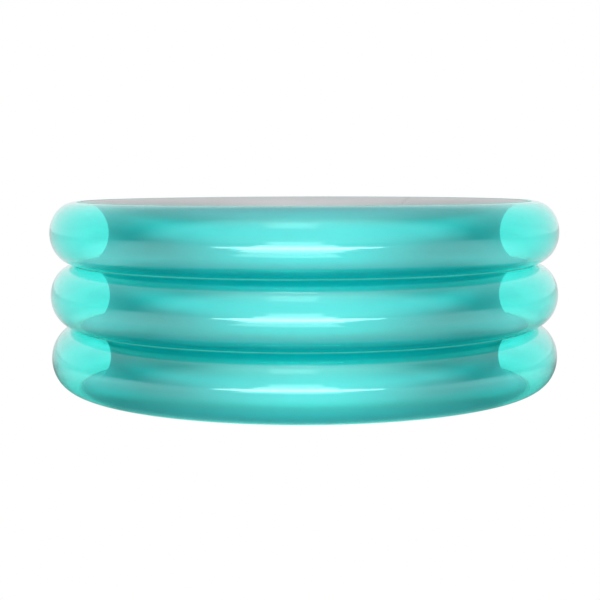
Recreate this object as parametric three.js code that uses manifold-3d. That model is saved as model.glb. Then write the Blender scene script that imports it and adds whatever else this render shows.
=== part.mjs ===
// A round inflatable paddling pool of three stacked air rings. Each ring is an outer wall of clear tinted
// vinyl and an inner wall of silvered vinyl, welded to its neighbours along flat lips. One floor sheet closes
// the bottom. Every ring has its own push-in air valve at the back, and the floor has a drain with a stopper.
// Millimetres, +Z up, origin on the ground at the pool's centre. The front is -Y and the back is +Y.

import * as THREE from "three";
import { mergeVertices } from "three/addons/utils/BufferGeometryUtils.js";
import Module from "manifold-3d";

// Rings and the two sheets of each
const OUTER_DIAMETER = 1520;
const RING_WIDTH = 172.4;
const RING_HEIGHT = 182.5;
const RINGS = ["bottom", "middle", "top"];
const SHEET = 0.3;
const LIP_REACH = 10;

// Welds between the rings, and along the top of the highest one
const SEAM_GAP = 0.3;
const RING_WELD_REACH = 17;
const RING_WELD_THICKNESS = 1.2;
const CROWN_WELD_REACH = 6;
const CROWN_WELD_THICKNESS = 0.6;

// Floor
const FLOOR_SHEET = 0.3;

// Air valves, one on each outer wall
const VALVE_ANGLE_DEGREES = 34;
const FIT_GAP = 0.3;
const STEM_BORE_RADIUS = 4;
const STEM_WALL = 2.5;
const STEM_RIM_WIDTH = 1.6;
const STEM_RIM_THICKNESS = 1.4;
const STEM_COLLAR_WIDTH = 2;
const STEM_COLLAR_THICKNESS = 1.2;
const STEM_TAIL = 5;
const VALVE_TRAVEL = 12;
const VALVE_SLIDE_GAP = 0.5;
const WELL_WALL = 1.2;
const WELL_TAIL = 2.5;
const FLANGE_REACH = 5.3;
const FLANGE_WELD_WIDTH = 4;
const FLANGE_THICKNESS = 1;
const FLAP_OVERLAP = 1.6;
const FLAP_THICKNESS = 0.8;
const PLUG_SHANK_LENGTH = 8;
const PLUG_TAPER = 0.6;
const PLUG_HEAD_THICKNESS = 1.5;
const PLUG_TAB_WIDTH = 7;
const PLUG_TAB_THICKNESS = 1.6;
const PLUG_TAB_HEIGHT = 3;
const STRAP_REACH = 5;
const STRAP_WIDTH = 3;
const STRAP_THICKNESS = 0.6;

// Drain in the floor, near the back wall
const DRAIN_FROM_WALL = 118;
const DRAIN_BORE_RADIUS = 11;
const DRAIN_RIM_WALL = 2.5;
const DRAIN_RIM_HEIGHT = 3.4;
const DRAIN_FLANGE_REACH = 10.5;
const DRAIN_FLANGE_THICKNESS = 1;
const DRAIN_HEAD_OVERHANG = 2;
const DRAIN_HEAD_THICKNESS = 2;
const DRAIN_TAB_WIDTH = 13;
const DRAIN_TAB_THICKNESS = 2.4;
const DRAIN_TAB_HEIGHT = 6;
const DRAIN_STRAP_REACH = 7;
const DRAIN_STRAP_WIDTH = 5;
const DRAIN_STRAP_THICKNESS = 0.9;

// One overrun serves every cut
const OVERRUN = 2;

// Counts of straight stretches that stand in for curves
const RING_SIDES = 36;
const STEPS_BELOW_VALVE = 5;
const STEPS_ABOVE_VALVE = 2;
const SMALL_SIDES = 16;
const CORNER_STEPS = 3;
const LOOP_STEPS = 6;

// Rings, worked out
const seamRadius = (OUTER_DIAMETER - RING_WIDTH) / 2;
const basinRadius = OUTER_DIAMETER / 2 - RING_WIDTH;
const ringPitch = RING_HEIGHT + RING_WELD_THICKNESS + 2 * SEAM_GAP;
const ringBase = (index) => FLOOR_SHEET + SEAM_GAP + index * ringPitch;
const ringTop = (index) => ringBase(index) + RING_HEIGHT;

// Valve radii, worked out from its bore outwards
const stemRadius = STEM_BORE_RADIUS + STEM_WALL;
const stemRimRadius = stemRadius + STEM_RIM_WIDTH;
const collarRadius = stemRadius + STEM_COLLAR_WIDTH;
const wellRadius = collarRadius + VALVE_SLIDE_GAP;
const flangeRadius = wellRadius + WELL_WALL + FLANGE_REACH;
const wallHoleRadius = flangeRadius - FLANGE_WELD_WIDTH;

// Valve heights along its own axis, worked out inwards from the wall's outer face, which is zero
const flangeFace = -SHEET - SEAM_GAP;
const flangeBack = flangeFace - FLANGE_THICKNESS;
const stemRimBack = flangeFace + FIT_GAP;
const stemTop = stemRimBack + STEM_RIM_THICKNESS;
const collarFace = flangeBack - VALVE_TRAVEL - FIT_GAP;
const collarBack = collarFace - STEM_COLLAR_THICKNESS;
const wellEnd = collarBack - WELL_TAIL;
const stemEnd = collarBack - STEM_TAIL;
const headFace = stemTop + FIT_GAP;
const headTop = headFace + PLUG_HEAD_THICKNESS;

// Drain radii, and heights from the ground
const drainRimRadius = DRAIN_BORE_RADIUS + DRAIN_RIM_WALL;
const drainFlangeLow = FLOOR_SHEET + SEAM_GAP;
const drainFlangeHigh = drainFlangeLow + DRAIN_FLANGE_THICKNESS;
const drainRimTop = drainFlangeHigh + DRAIN_RIM_HEIGHT;
const drainHeadLow = drainRimTop + FIT_GAP;
const drainHeadHigh = drainHeadLow + DRAIN_HEAD_THICKNESS;
const drainHeadRadius = drainRimRadius + DRAIN_HEAD_OVERHANG;

// Finishes, as the photograph shows them
const finishes = {
  clearVinyl: { color: 0x4fd8cc, roughness: 0.08, metalness: 0, transparent: true, opacity: 0.55 },
  silverVinyl: { color: 0xc4c8c8, roughness: 0.3, metalness: 0.9 },
  weld: { color: 0x9fe6df, roughness: 0.3, metalness: 0 },
  floorVinyl: { color: 0x63cfc8, roughness: 0.35, metalness: 0 },
  valveVinyl: { color: 0xd7f2ee, roughness: 0.35, metalness: 0, transparent: true, opacity: 0.8 },
  plugVinyl: { color: 0xeff6f5, roughness: 0.4, metalness: 0 },
};

const wasm = await Module();
wasm.setup();

// A closed geometry as a solid that can be cut and joined.
function solidOf(geometry) {
  const bare = geometry.clone();
  bare.deleteAttribute("normal");
  bare.deleteAttribute("uv");
  const merged = mergeVertices(bare);
  return new wasm.Manifold(
    new wasm.Mesh({
      numProp: 3,
      vertProperties: new Float32Array(merged.attributes.position.array),
      triVerts: new Uint32Array(merged.index.array),
    }),
  );
}

// The geometry of a solid, for a mesh.
function geometryOf(solid) {
  const { vertProperties, triVerts } = solid.getMesh();
  return new THREE.BufferGeometry()
    .setAttribute("position", new THREE.BufferAttribute(new Float32Array(vertProperties), 3))
    .setIndex(new THREE.BufferAttribute(new Uint32Array(triVerts), 1));
}

function mesh(name, geometry, finish) {
  const made = new THREE.Mesh(geometry, new THREE.MeshStandardMaterial(finishes[finish]));
  made.name = name;
  return made;
}

// A closed profile of [radius, height] points turned about +Z. The points run anticlockwise, seen with the
// radius to the right. Radii are measured to the middle of each flat side, and one flat side faces -Y.
function turned(profile, sides) {
  const corner = 1 / Math.cos(Math.PI / sides);
  const points = [...profile, profile[0]].map(([radius, z]) => new THREE.Vector2(radius * corner, z));
  return new THREE.LatheGeometry(points, sides, Math.PI / sides).rotateX(Math.PI / 2);
}

// The profile of a flat ring, or of a disc where inner is zero.
const flatRing = (inner, outer, low, high) => [
  [inner, low],
  [outer, low],
  [outer, high],
  [inner, high],
];

// A wall's section between its lips is half an ellipse with these half axes.
const bellyOut = RING_WIDTH / 2 - LIP_REACH;
const bellyUp = RING_HEIGHT / 2;

// One stretch of the section lies flat behind the valve's flange, and is as long as the flange is wide.
const valveAngle = THREE.MathUtils.degToRad(VALVE_ANGLE_DEGREES);
const slopeOut = bellyOut * Math.sin(valveAngle);
const slopeUp = bellyUp * Math.cos(valveAngle);
const halfFlat = flangeRadius + FIT_GAP;
const flatHalfAngle = Math.asin(halfFlat / Math.hypot(slopeOut, slopeUp));

// The angles where both walls bend, from the lower lip to the upper lip.
function bendAngles() {
  const flatLow = valveAngle - flatHalfAngle;
  const flatHigh = valveAngle + flatHalfAngle;
  const angles = [];
  for (let step = 0; step <= STEPS_BELOW_VALVE; step++) {
    angles.push(THREE.MathUtils.lerp(-Math.PI / 2, flatLow, step / STEPS_BELOW_VALVE));
  }
  for (let step = 0; step <= STEPS_ABOVE_VALVE; step++) {
    angles.push(THREE.MathUtils.lerp(flatHigh, Math.PI / 2, step / STEPS_ABOVE_VALVE));
  }
  return angles;
}

// One edge of a wall's section, as distances [out from the seam, up from the ring's middle]. inset is how far
// the edge lies inside the ring.
function wallEdge(inset) {
  const up = bellyUp - inset;
  const belly = bendAngles().map((angle) => [
    LIP_REACH + (bellyOut - inset) * Math.cos(angle),
    up * Math.sin(angle),
  ]);
  return [[SEAM_GAP / 2, -up], ...belly, [SEAM_GAP / 2, up]];
}

// A ring's wall sheet. side is 1 for the outer wall and -1 for the inner wall.
function wallSheet(side, index) {
  const middle = ringBase(index) + RING_HEIGHT / 2;
  const section = [...wallEdge(0), ...wallEdge(SHEET).reverse()].map(([out, up]) => [
    seamRadius + side * out,
    middle + up,
  ]);
  return turned(side > 0 ? section : section.reverse(), RING_SIDES);
}

// A place whose +Z stands square on the outer wall, in the middle of the flat stretch that a ring's valve
// sits on. Each ring's valve is one flat side further round than the one below, so that all are in reach.
function valvePlace(index) {
  const chord = Math.cos(flatHalfAngle);
  const place = new THREE.Group();
  place.position.y = seamRadius + LIP_REACH + bellyOut * Math.cos(valveAngle) * chord;
  place.position.z = ringBase(index) + RING_HEIGHT / 2 + bellyUp * Math.sin(valveAngle) * chord;
  place.rotation.x = Math.atan2(slopeOut, slopeUp) - Math.PI / 2;
  const round = new THREE.Group();
  round.rotation.z = ((1 - index) * 2 * Math.PI) / RING_SIDES;
  round.add(place);
  round.updateMatrixWorld(true);
  return { round, place };
}

function outerWall(index) {
  const cutter = turned(flatRing(0, wallHoleRadius, -SHEET - OVERRUN, OVERRUN), SMALL_SIDES);
  cutter.applyMatrix4(valvePlace(index).place.matrixWorld);
  const wall = solidOf(wallSheet(1, index)).subtract(solidOf(cutter));
  return mesh("outer_wall_" + RINGS[index], geometryOf(wall), "clearVinyl");
}

function innerWall(index) {
  return mesh("inner_wall_" + RINGS[index], wallSheet(-1, index), "silverVinyl");
}

// A flat band of weld that lies on the top lips of a ring.
function weldBand(name, index, reach, thickness) {
  const low = ringTop(index) + SEAM_GAP;
  const profile = flatRing(seamRadius - reach, seamRadius + reach, low, low + thickness);
  return mesh(name, turned(profile, RING_SIDES), "weld");
}

function floorSheet() {
  const sheet = turned(flatRing(0, seamRadius + LIP_REACH, 0, FLOOR_SHEET), RING_SIDES);
  const cutter = turned(flatRing(0, DRAIN_BORE_RADIUS, -OVERRUN, FLOOR_SHEET + OVERRUN), SMALL_SIDES);
  cutter.translate(0, basinRadius - DRAIN_FROM_WALL, 0);
  return mesh("floor_sheet", geometryOf(solidOf(sheet).subtract(solidOf(cutter))), "floorVinyl");
}

// The part that is welded inside the wall: a flange, and a well that the stem's collar slides in.
function valveBase() {
  const profile = [
    [stemRadius + VALVE_SLIDE_GAP, flangeBack],
    [wellRadius, flangeBack],
    [wellRadius, wellEnd],
    [wellRadius + WELL_WALL, wellEnd],
    [wellRadius + WELL_WALL, flangeBack],
    [flangeRadius, flangeBack],
    [flangeRadius, flangeFace],
    [stemRadius + VALVE_SLIDE_GAP, flangeFace],
  ];
  return turned(profile, SMALL_SIDES);
}

// The blow tube. Its rim stops it on the flange when it is pushed in, and its collar under the flange when
// it is pulled out.
function valveStem() {
  const profile = [
    [STEM_BORE_RADIUS, stemEnd],
    [stemRadius, stemEnd],
    [stemRadius, collarBack],
    [collarRadius, collarBack],
    [collarRadius, collarFace],
    [stemRadius, collarFace],
    [stemRadius, stemRimBack],
    [stemRimRadius, stemRimBack],
    [stemRimRadius, stemTop],
    [STEM_BORE_RADIUS, stemTop],
  ];
  return turned(profile, SMALL_SIDES);
}

// The check flap that covers the bore at the stem's inner end.
function valveFlap() {
  const face = stemEnd - FIT_GAP;
  const profile = flatRing(0, STEM_BORE_RADIUS + FLAP_OVERLAP, face - FLAP_THICKNESS, face);
  return turned(profile, SMALL_SIDES);
}

// A tab to pull a stopper by: an upright plate with round top corners.
function pullTab(width, thickness, height, base) {
  const corner = Math.min(width, height) / 3;
  const outline = new THREE.Shape();
  outline.moveTo(-width / 2, 0);
  outline.lineTo(width / 2, 0);
  outline.lineTo(width / 2, height - corner);
  outline.absarc(width / 2 - corner, height - corner, corner, 0, Math.PI / 2, false);
  outline.lineTo(-width / 2 + corner, height);
  outline.absarc(-width / 2 + corner, height - corner, corner, Math.PI / 2, Math.PI, false);
  outline.lineTo(-width / 2, 0);
  return new THREE.ExtrudeGeometry(outline, {
    depth: thickness,
    bevelEnabled: false,
    curveSegments: CORNER_STEPS,
  })
    .translate(0, 0, -thickness / 2)
    .rotateX(Math.PI / 2)
    .translate(0, 0, base);
}

// A stopper: a shank that fills the bore, a round head that covers the rim, and the pull tab on it.
function stopper({ boreRadius, shankEnd, headRadius, headLow, headHigh, tab }) {
  const shank = boreRadius - FIT_GAP;
  const profile = [
    [0, shankEnd],
    [shank - PLUG_TAPER, shankEnd],
    [shank, shankEnd + 2 * PLUG_TAPER],
    [shank, headLow],
    [headRadius, headLow],
    [headRadius, headHigh],
    [0, headHigh],
  ];
  const sunk = (headHigh - headLow) / 2;
  const plate = pullTab(tab.width, tab.thickness, tab.height + sunk, headHigh - sunk);
  return geometryOf(solidOf(turned(profile, SMALL_SIDES)).add(solidOf(plate)));
}

// The strap that keeps a stopper on its seat: a flat band along +Y that leaves the seat at one height, turns
// back in a half loop, and reaches the stopper's head at another. Heights are to the band's middle.
function strapLoop({ start, reach, low, high, thickness, width }) {
  const bend = (high - low) / 2;
  const middle = (high + low) / 2;
  const outer = bend + thickness / 2;
  const inner = bend - thickness / 2;
  const far = start + reach - outer;
  const outline = new THREE.Shape();
  outline.moveTo(start, middle - outer);
  outline.lineTo(far, middle - outer);
  outline.absarc(far, middle, outer, -Math.PI / 2, Math.PI / 2, false);
  outline.lineTo(start, middle + outer);
  outline.lineTo(start, middle + inner);
  outline.lineTo(far, middle + inner);
  outline.absarc(far, middle, inner, Math.PI / 2, -Math.PI / 2, true);
  outline.lineTo(start, middle - inner);
  outline.lineTo(start, middle - outer);
  return new THREE.ExtrudeGeometry(outline, { depth: width, bevelEnabled: false, curveSegments: LOOP_STEPS })
    .translate(0, 0, -width / 2)
    .rotateX(Math.PI / 2)
    .rotateZ(Math.PI / 2);
}

function valve(index) {
  const { round, place } = valvePlace(index);
  const ring = RINGS[index];
  const plug = stopper({
    boreRadius: STEM_BORE_RADIUS,
    shankEnd: headFace - PLUG_SHANK_LENGTH,
    headRadius: stemRimRadius,
    headLow: headFace,
    headHigh: headTop,
    tab: { width: PLUG_TAB_WIDTH, thickness: PLUG_TAB_THICKNESS, height: PLUG_TAB_HEIGHT },
  });
  const strap = strapLoop({
    start: stemRimRadius + FIT_GAP,
    reach: STRAP_REACH,
    low: stemTop - STRAP_THICKNESS / 2,
    high: headTop - STRAP_THICKNESS / 2,
    thickness: STRAP_THICKNESS,
    width: STRAP_WIDTH,
  });
  place.add(
    mesh("valve_base_" + ring, valveBase(), "valveVinyl"),
    mesh("valve_stem_" + ring, valveStem(), "valveVinyl"),
    mesh("valve_flap_" + ring, valveFlap(), "valveVinyl"),
    mesh("valve_plug_" + ring, plug, "plugVinyl"),
    mesh("plug_strap_" + ring, strap, "plugVinyl"),
  );
  return round;
}

function drainSeat() {
  const profile = [
    [DRAIN_BORE_RADIUS, drainFlangeLow],
    [drainRimRadius + DRAIN_FLANGE_REACH, drainFlangeLow],
    [drainRimRadius + DRAIN_FLANGE_REACH, drainFlangeHigh],
    [drainRimRadius, drainFlangeHigh],
    [drainRimRadius, drainRimTop],
    [DRAIN_BORE_RADIUS, drainRimTop],
  ];
  return mesh("drain_seat", turned(profile, SMALL_SIDES), "valveVinyl");
}

function drainPlug() {
  const plug = stopper({
    boreRadius: DRAIN_BORE_RADIUS,
    shankEnd: drainFlangeLow,
    headRadius: drainHeadRadius,
    headLow: drainHeadLow,
    headHigh: drainHeadHigh,
    tab: { width: DRAIN_TAB_WIDTH, thickness: DRAIN_TAB_THICKNESS, height: DRAIN_TAB_HEIGHT },
  });
  return mesh("drain_plug", plug, "plugVinyl");
}

function drainStrap() {
  const strap = strapLoop({
    start: drainHeadRadius + FIT_GAP,
    reach: DRAIN_STRAP_REACH,
    low: drainFlangeHigh + FIT_GAP + DRAIN_STRAP_THICKNESS / 2,
    high: (drainHeadLow + drainHeadHigh) / 2,
    thickness: DRAIN_STRAP_THICKNESS,
    width: DRAIN_STRAP_WIDTH,
  });
  return mesh("drain_strap", strap, "plugVinyl");
}

// The drain's pieces, turned so that the strap runs across the pool.
function drain() {
  const place = new THREE.Group();
  place.position.y = basinRadius - DRAIN_FROM_WALL;
  place.rotation.z = Math.PI / 2;
  place.add(drainSeat(), drainPlug(), drainStrap());
  return place;
}

const pool = new THREE.Group();
pool.add(floorSheet());
RINGS.forEach((ring, index) => pool.add(outerWall(index), innerWall(index), valve(index)));
pool.add(
  weldBand("ring_weld_lower", 0, RING_WELD_REACH, RING_WELD_THICKNESS),
  weldBand("ring_weld_upper", 1, RING_WELD_REACH, RING_WELD_THICKNESS),
  weldBand("crown_weld", 2, CROWN_WELD_REACH, CROWN_WELD_THICKNESS),
  drain(),
);

export default pool;
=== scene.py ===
"""The looks of an inflatable paddling pool of three air rings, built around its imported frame.

Metres, +Z up, front at -Y. Each ring is a clear tinted outer film welded to a silvered inner film.
"""

import logging
import math
from dataclasses import dataclass, field
from enum import Enum
from typing import Sequence

import bmesh
import bpy
from mathutils import Matrix, Vector, noise


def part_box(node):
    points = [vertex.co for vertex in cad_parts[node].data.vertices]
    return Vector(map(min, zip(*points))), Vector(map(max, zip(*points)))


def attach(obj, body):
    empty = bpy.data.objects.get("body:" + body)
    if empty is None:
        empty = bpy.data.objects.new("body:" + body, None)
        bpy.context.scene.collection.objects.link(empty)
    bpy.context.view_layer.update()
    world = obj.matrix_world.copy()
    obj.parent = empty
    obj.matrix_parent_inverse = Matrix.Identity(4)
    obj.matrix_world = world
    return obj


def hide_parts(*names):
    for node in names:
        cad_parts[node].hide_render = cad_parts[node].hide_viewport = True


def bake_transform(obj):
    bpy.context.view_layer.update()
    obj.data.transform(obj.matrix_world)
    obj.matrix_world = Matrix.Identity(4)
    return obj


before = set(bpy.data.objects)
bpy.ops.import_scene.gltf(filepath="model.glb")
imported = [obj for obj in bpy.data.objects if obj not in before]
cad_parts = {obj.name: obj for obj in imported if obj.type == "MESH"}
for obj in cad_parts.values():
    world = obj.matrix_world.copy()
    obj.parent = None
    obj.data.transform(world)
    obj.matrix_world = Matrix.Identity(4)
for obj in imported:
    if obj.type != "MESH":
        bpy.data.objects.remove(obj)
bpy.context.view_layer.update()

LOG = logging.getLogger("paddling_pool")
MM = 0.001

Colour = tuple[float, float, float, float]
Place = tuple[float, float, float]
Point = tuple[float, float]
Span = tuple[float, float]

WHITE: Colour = (1.0, 1.0, 1.0, 1.0)
ORIGIN: Place = (0.0, 0.0, 0.0)
UP: Place = (0.0, 0.0, 1.0)

# Edges that turn by more than this are rounded.
SHARP_EDGE = math.radians(40)
# A turned mesh is doubled up from one of at most this many arcs.
MOST_ARCS = 64
# How many steps a small turned piece has, and the edge of a round hole.
PIECE_STEPS = 72
HOLE_SIDES = 48
# Vertices this close are merged, count as level with each other, and count as on a cutting plane.
MERGE_WITHIN = 0.02 * MM
SAME_PLACE = 0.01 * MM
CUT_WITHIN = 0.001 * MM


class Slot(Enum):
    """The record's material slots."""

    CLEAR = "clear_vinyl"
    SILVER = "silver_vinyl"
    WELD = "weld_vinyl"
    FLOOR = "floor_vinyl"
    VALVE = "valve_vinyl"
    PLUG = "plug_vinyl"


class Side(Enum):
    """The two films of a ring, by the way they bulge from the seam."""

    OUTER = 1
    INNER = -1


class Graph:
    """The nodes of one material, node group or world, added and joined by short calls."""

    def __init__(self, tree: bpy.types.NodeTree) -> None:
        """Starts on a tree with nothing in it."""
        tree.nodes.clear()
        self.tree = tree

    def feed(self, socket: bpy.types.NodeSocket, value: object) -> None:
        """Joins a value to a socket, or sets it there.

        Args:
            socket: The input socket.
            value: An output socket to join to it, or what to set it to.
        """
        if isinstance(value, bpy.types.NodeSocket):
            self.tree.links.new(value, socket)
        else:
            socket.default_value = value

    def add(self, kind: str, values: dict | None = None, **settings: object) -> bpy.types.Node:
        """Adds a node.

        Args:
            kind: Blender's name for the node's type.
            values: What each input takes, by the input's name or number.
            **settings: The node's own options.

        Returns:
            The node.
        """
        node = self.tree.nodes.new(kind)
        for name, setting in settings.items():
            setattr(node, name, setting)
        for socket, value in (values or {}).items():
            self.feed(node.inputs[socket], value)
        return node

    def maths(self, operation: str, *values: object) -> bpy.types.NodeSocket:
        """The result of a Math node on one to three values."""
        return self.add("ShaderNodeMath", dict(enumerate(values)), operation=operation).outputs[0]

    def vector_maths(self, operation: str, *values: object, output: str = "Vector") -> bpy.types.NodeSocket:
        """The result of a Vector Math node, at the output of that name."""
        node = self.add("ShaderNodeVectorMath", dict(enumerate(values)), operation=operation)
        return node.outputs[output]

    def noise(self, vector: bpy.types.NodeSocket, scale: object, detail: float) -> bpy.types.NodeSocket:
        """Noise between 0 and 1 over vector."""
        values = {"Vector": vector, "Scale": scale, "Detail": detail}
        return self.add("ShaderNodeTexNoise", values).outputs[0]

    def spread(self, value: object, span: Span, onto: Span) -> bpy.types.NodeSocket:
        """Maps value from one span onto another, held inside it."""
        values = dict(enumerate((value, *span, *onto)))
        return self.add("ShaderNodeMapRange", values).outputs[0]

    def mix(self, share: object, first: object, second: object, blend: str = "MIX") -> bpy.types.NodeSocket:
        """Blends two colours by share. Sockets 6 and 7 take a Mix node's colours, and 2 gives its colour."""
        values = {0: share, 6: first, 7: second}
        return self.add("ShaderNodeMix", values, data_type="RGBA", blend_type=blend).outputs[2]

    def product(self, colour: object, value: object) -> bpy.types.NodeSocket:
        """The colour times the value."""
        return self.mix(1.0, colour, value, "MULTIPLY")

    def total(self, first: object, *others: object) -> bpy.types.NodeSocket:
        """Adds up values.

        Args:
            first: The first value or socket.
            *others: The values and sockets to add to it.

        Returns:
            The sum.
        """
        for other in others:
            first = self.maths("ADD", first, other)
        return first

    def place(self) -> bpy.types.NodeSocket:
        """The Object coordinates."""
        return self.add("ShaderNodeTexCoord").outputs["Object"]


def vinyl_group() -> bpy.types.NodeTree:
    """Builds the shader group that every vinyl shares, once.

    Returns:
        The group. Tone varies round 1, Haze and Height vary between 0 and 1.
    """
    name = "vinyl_surface"
    if name in bpy.data.node_groups:
        return bpy.data.node_groups[name]
    tree = bpy.data.node_groups.new(name, "ShaderNodeTree")
    graph = Graph(tree)
    inputs = {"Mottle Scale": 6.0, "Mottle Depth": 0.05, "Grain Scale": 60.0}
    tree.interface.new_socket("Vector", in_out="INPUT", socket_type="NodeSocketVector")
    for label, value in inputs.items():
        socket = tree.interface.new_socket(label, in_out="INPUT", socket_type="NodeSocketFloat")
        socket.default_value = value
    for label in ("Tone", "Haze", "Height"):
        tree.interface.new_socket(label, in_out="OUTPUT", socket_type="NodeSocketFloat")
    given = graph.add("NodeGroupInput").outputs
    rub_fineness, rubbed_span, mottle_share = 3.0, (0.45, 0.8), 0.7
    mottle = graph.noise(given["Vector"], given["Mottle Scale"], detail=3.0)
    grain = graph.noise(given["Vector"], given["Grain Scale"], detail=2.0)
    swing = graph.maths("MULTIPLY", graph.maths("SUBTRACT", mottle, 0.5), 2.0)
    tone = graph.maths("MULTIPLY_ADD", swing, given["Mottle Depth"], 1.0)
    rub_scale = graph.maths("MULTIPLY", given["Mottle Scale"], rub_fineness)
    haze = graph.spread(graph.noise(given["Vector"], rub_scale, detail=4.0), rubbed_span, (0.0, 1.0))
    fine = graph.maths("MULTIPLY", grain, 1.0 - mottle_share)
    height = graph.maths("MULTIPLY_ADD", mottle, mottle_share, fine)
    graph.add("NodeGroupOutput", {"Tone": tone, "Haze": haze, "Height": height})
    return tree


@dataclass(frozen=True)
class Vinyl:
    """What every vinyl finish has: its name, and the size of its mottling, grain and relief.

    The haze is its roughness where it is clean and where it is rubbed.
    """

    name: str
    slot: Slot
    mottle_scale: float = 6.0
    mottle_depth: float = 0.05
    grain_scale: float = 60.0
    relief: float = 0.15 * MM
    haze: Span = (0.3, 0.4)

    def start(self) -> tuple[bpy.types.Material, Graph, bpy.types.NodeSocket, dict]:
        """Makes the material and the nodes that all the finishes share.

        Returns:
            The material, its graph, the shared group's tone, and the roughness and normal.
        """
        material = bpy.data.materials.new(self.name)
        material.use_nodes = True
        graph = Graph(material.node_tree)
        surface = graph.add("ShaderNodeGroup", node_tree=vinyl_group())
        values = (graph.place(), self.mottle_scale, self.mottle_depth, self.grain_scale)
        for socket, value in zip(surface.inputs, values):
            graph.feed(socket, value)
        rough = graph.spread(surface.outputs["Haze"], (0.0, 1.0), self.haze)
        bump = graph.add("ShaderNodeBump", {"Height": surface.outputs["Height"], "Distance": self.relief})
        return material, graph, surface.outputs["Tone"], {"Roughness": rough, "Normal": bump.outputs[0]}


@dataclass(frozen=True)
class ClearVinyl(Vinyl):
    """See-through film: each face passes the tint, and mirrors more the flatter it is looked along.

    Layer Weight's Facing is one minus the cosine of the angle where its blend is even_facing.
    """

    tint: Colour = (0.5, 0.988, 0.962, 1.0)
    mirrored_head_on: float = 0.07
    even_facing: float = 0.5
    edge_power: float = 5.0

    def make(self) -> bpy.types.Material:
        """Makes the material.

        Returns:
            The material.
        """
        material, graph, tone, surface = self.start()
        film = graph.add("ShaderNodeBsdfTransparent", {"Color": graph.product(self.tint, tone)})
        gloss = graph.add("ShaderNodeBsdfAnisotropic", {"Color": WHITE, **surface})
        facing = graph.add("ShaderNodeLayerWeight", {"Blend": self.even_facing}).outputs["Facing"]
        edge = graph.maths("POWER", facing, self.edge_power)
        share = graph.maths("MULTIPLY_ADD", edge, 1.0 - self.mirrored_head_on, self.mirrored_head_on)
        both = graph.add("ShaderNodeMixShader", {0: share, 1: film.outputs[0], 2: gloss.outputs[0]})
        graph.add("ShaderNodeOutputMaterial", {"Surface": both.outputs[0]})
        return material


@dataclass(frozen=True)
class SolidVinyl(Vinyl):
    """Opaque or milky vinyl, silvered where metallic is above zero."""

    colour: Colour = (0.8, 0.8, 0.8, 1.0)
    metallic: float = 0.0
    coat: float = 0.0
    coat_roughness: float = 0.08
    subsurface: float = 0.0
    milky_depth: float = 4 * MM
    puckered: float = 0.0

    def make(self) -> bpy.types.Material:
        """Makes the material. Fine upright puckers spread its reflections sideways.

        Returns:
            The material.
        """
        material, graph, tone, surface = self.start()
        if self.puckered:
            along = graph.vector_maths("CROSS_PRODUCT", UP, graph.place())
            surface["Tangent"] = graph.vector_maths("NORMALIZE", along)
        values = {
            "Anisotropic": self.puckered,
            "Base Color": graph.product(self.colour, tone),
            "Metallic": self.metallic,
            "Coat Weight": self.coat,
            "Coat Roughness": self.coat_roughness,
            "Subsurface Weight": self.subsurface,
            "Subsurface Radius": (self.milky_depth,) * 3,
            **surface,
        }
        shader = graph.add("ShaderNodeBsdfPrincipled", values)
        graph.add("ShaderNodeOutputMaterial", {"Surface": shader.outputs[0]})
        return material


class Finishes:
    """Every finish of the pool, made once each."""

    def __init__(self) -> None:
        """Makes the materials."""
        self.clear = ClearVinyl(
            "clear_turquoise_vinyl",
            Slot.CLEAR,
            mottle_scale=3.0,
            mottle_depth=0.02,
            relief=0.02 * MM,
            haze=(0.1, 0.14),
        )
        self.silver = SolidVinyl(
            "silvered_vinyl",
            Slot.SILVER,
            mottle_scale=5.0,
            mottle_depth=0.03,
            relief=0.1 * MM,
            haze=(0.38, 0.46),
            colour=(0.1, 0.64, 0.69, 1.0),
            metallic=1.0,
            puckered=0.6,
        )
        self.backing = SolidVinyl(
            "silver_grey_vinyl",
            Slot.SILVER,
            mottle_scale=5.0,
            mottle_depth=0.04,
            relief=0.1 * MM,
            haze=(0.36, 0.46),
            colour=(0.43, 0.438, 0.445, 1.0),
            metallic=0.5,
        )
        self.weld = SolidVinyl(
            "welded_turquoise_vinyl",
            Slot.WELD,
            mottle_scale=20.0,
            mottle_depth=0.03,
            haze=(0.3, 0.34),
            colour=(0.25, 0.62, 0.58, 1.0),
            subsurface=0.2,
        )
        self.floor = SolidVinyl(
            "floor_turquoise_vinyl",
            Slot.FLOOR,
            mottle_scale=4.0,
            haze=(0.26, 0.34),
            colour=(0.1, 0.62, 0.58, 1.0),
            coat=0.3,
        )
        self.valve = SolidVinyl(
            "valve_clear_vinyl",
            Slot.VALVE,
            mottle_scale=40.0,
            haze=(0.2, 0.35),
            colour=(0.74, 0.9, 0.88, 1.0),
            subsurface=0.3,
        )
        self.plug = SolidVinyl(
            "stopper_white_vinyl",
            Slot.PLUG,
            mottle_scale=40.0,
            haze=(0.3, 0.42),
            colour=(0.86, 0.88, 0.87, 1.0),
            subsurface=0.2,
        )
        self.made: dict[str, bpy.types.Material] = {}

    def dress(self, piece: bpy.types.Object, *finishes: Vinyl) -> None:
        """Gives a piece its finishes.

        Args:
            piece: The piece.
            *finishes: The finish, and where its two faces differ the one of its back.
        """
        piece.data.materials.clear()
        for finish in finishes:
            if finish.name not in self.made:
                self.made[finish.name] = finish.make()
            piece.data.materials.append(self.made[finish.name])


def profile(mesh: bmesh.types.BMesh, points: Sequence[Point], closed: bool = False) -> list:
    """Draws a line in a mesh.

    Args:
        mesh: The mesh.
        points: The line's points, as (radius, height).
        closed: True where the last point joins the first.

    Returns:
        The line's vertices and edges.
    """
    corners = [mesh.verts.new((radius, 0.0, height)) for radius, height in points]
    lines = [mesh.edges.new(pair) for pair in zip(corners, corners[1:])]
    if closed:
        lines.append(mesh.edges.new((corners[-1], corners[0])))
    return corners + lines


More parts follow.
